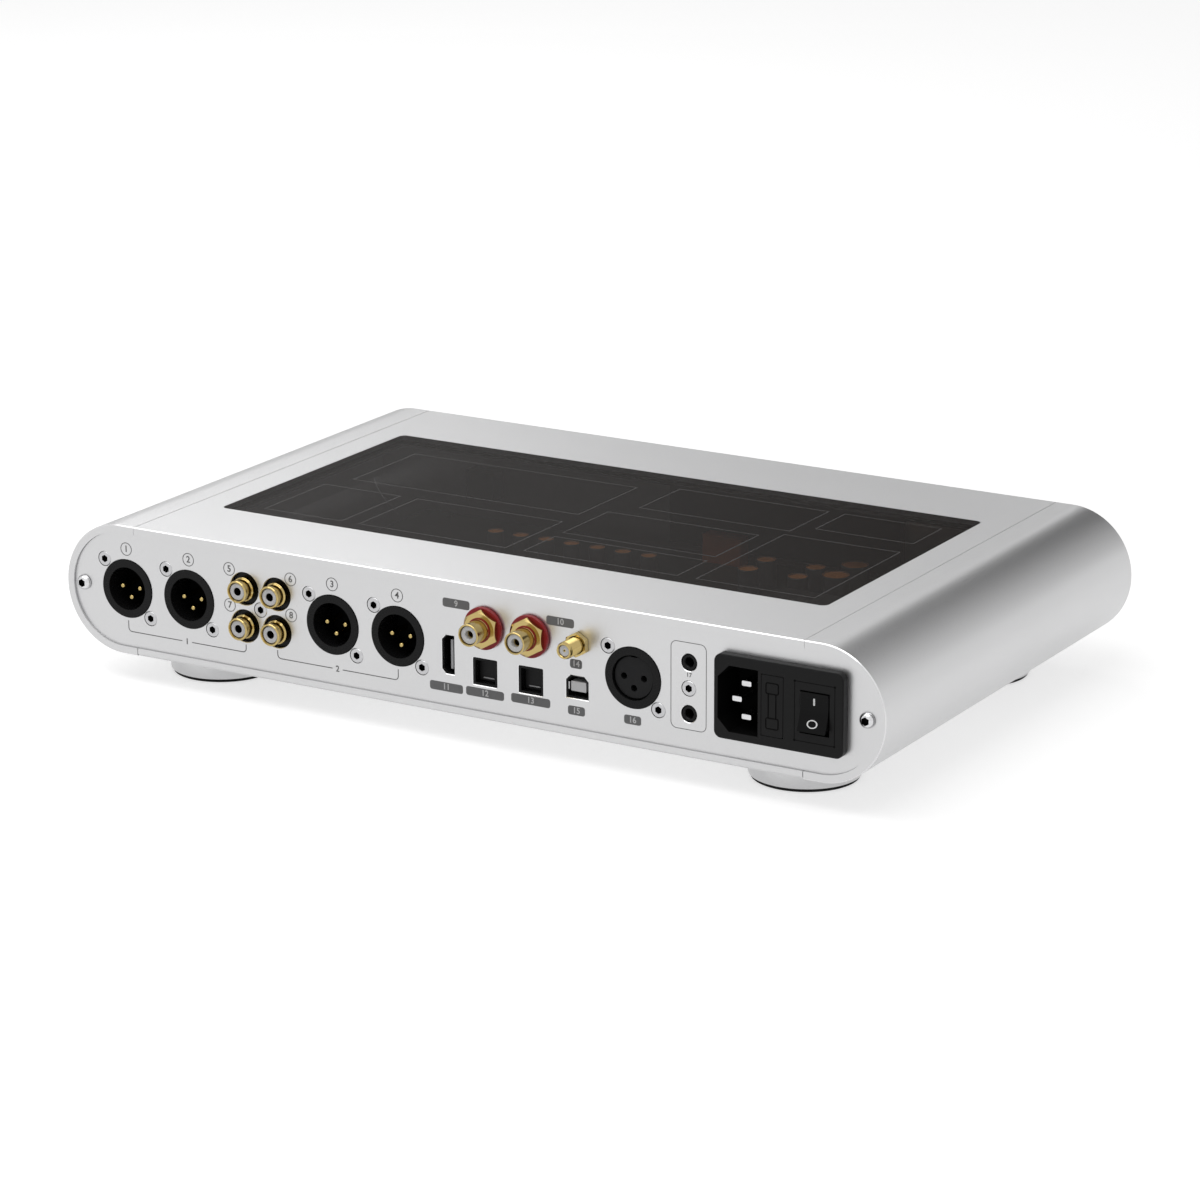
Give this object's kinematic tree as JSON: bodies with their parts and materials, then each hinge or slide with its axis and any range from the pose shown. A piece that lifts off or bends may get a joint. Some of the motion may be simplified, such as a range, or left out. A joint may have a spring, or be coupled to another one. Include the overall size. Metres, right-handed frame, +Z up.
{
  "type": "desktop digital-to-analogue converter",
  "caption": "Low desktop audio converter with round-ended metal shell, smoked glass top window, rear sockets, mains inlet with rocker and fuse drawer, and a front turn-and-push knob.",
  "frame": {"origin": "on the surface the unit stands on, at the middle of its box between the knob's face and the tips of the rear jacks", "axes": "+Z up, the front panel faces -Y, the rear sockets face +Y, +X to the right as seen from the front"},
  "size_m": [0.372, 0.241, 0.0654],
  "materials": {
    "aluminium": "bead-blasted satin anodised",
    "smoked_glass": "polished smoked glass",
    "black_plastic": "moulded satin",
    "dark_plastic": "moulded matt",
    "gilt": "gold plated",
    "red_plastic": "moulded gloss",
    "rubber": "matt",
    "steel": "nickel plated",
    "fuse_glass": "clear tube",
    "circuit_board": "solder mask"
  },
  "bodies": {
    "chassis": {"left_cheek": "aluminium", "right_cheek": "aluminium", "top_plate": "aluminium", "bottom_plate": "aluminium", "rear_panel": "aluminium", "front_panel": "aluminium", "window_glass": "smoked_glass", "display_lens": "smoked_glass", "display_module": "circuit_board", "foot_front_left": "aluminium", "foot_front_right": "aluminium", "foot_rear_left": "aluminium", "foot_rear_right": "aluminium", "foot_pad_front_left": "rubber", "foot_pad_front_right": "rubber", "foot_pad_rear_left": "rubber", "foot_pad_rear_right": "rubber", "panel_screw_left": "steel", "panel_screw_right": "steel", "xlr_out_shell_1": "black_plastic", "xlr_out_shell_2": "black_plastic", "xlr_out_shell_3": "black_plastic", "xlr_out_shell_4": "black_plastic", "xlr_out_contacts_1": "gilt", "xlr_out_contacts_2": "gilt", "xlr_out_contacts_3": "gilt", "xlr_out_contacts_4": "gilt", "xlr_in_shell": "black_plastic", "xlr_in_insert": "dark_plastic", "rca_block": "black_plastic", "rca_jack_1": "gilt", "rca_jack_2": "gilt", "rca_jack_3": "gilt", "rca_jack_4": "gilt", "coax_jack_1": "gilt", "coax_jack_2": "gilt", "coax_nut_1": "gilt", "coax_nut_2": "gilt", "coax_washer_1": "red_plastic", "coax_washer_2": "red_plastic", "aerial_socket": "gilt", "aerial_nut": "gilt", "link_socket": "steel", "usb_socket": "steel", "optical_socket_1": "black_plastic", "optical_socket_2": "black_plastic", "trigger_jack_1": "black_plastic", "trigger_jack_2": "black_plastic", "inlet_housing": "black_plastic", "encoder": "black_plastic", "main_board": "circuit_board", "supply_module": "dark_plastic"},
    "power_rocker": {"power_rocker": "black_plastic"},
    "fuse_tray": {"fuse_drawer": "black_plastic", "fuse": "fuse_glass"},
    "shutter_1": {"optical_shutter_1": "dark_plastic"},
    "shutter_2": {"optical_shutter_2": "dark_plastic"},
    "knob_push": {"encoder_plunger": "dark_plastic"},
    "knob": {"volume_knob": "aluminium", "encoder_shaft": "steel"}
  },
  "joints": [
    {"name": "rocker_tilt", "type": "hinge", "parent": "chassis", "child": "power_rocker", "pos_m": [-0.1581, 0.1105, 0.0389], "axis": [-1, 0, 0], "range_deg": [0, 20]},
    {"name": "drawer_slide", "type": "slide", "parent": "chassis", "child": "fuse_tray", "axis": [0, 1, 0], "range_m": [0, 0.015]},
    {"name": "shutter_1_swing", "type": "hinge", "parent": "chassis", "child": "shutter_1", "pos_m": [-0.0129, 0.1047, 0.03415], "axis": [-1, 0, 0], "range_deg": [0, 80], "stiffness_Nm_per_rad": 0.0004},
    {"name": "shutter_2_swing", "type": "hinge", "parent": "chassis", "child": "shutter_2", "pos_m": [-0.0335, 0.1047, 0.03415], "axis": [-1, 0, 0], "range_deg": [0, 80], "stiffness_Nm_per_rad": 0.0004},
    {"name": "knob_press", "type": "slide", "parent": "chassis", "child": "knob_push", "axis": [0, 1, 0], "range_m": [0, 0.0008], "stiffness_N_per_m": 3000},
    {"name": "knob_turn", "type": "hinge", "parent": "knob_push", "child": "knob", "pos_m": [0.118, -0.1085, 0.03845], "axis": [0, -1, 0], "continuous": true}
  ]
}
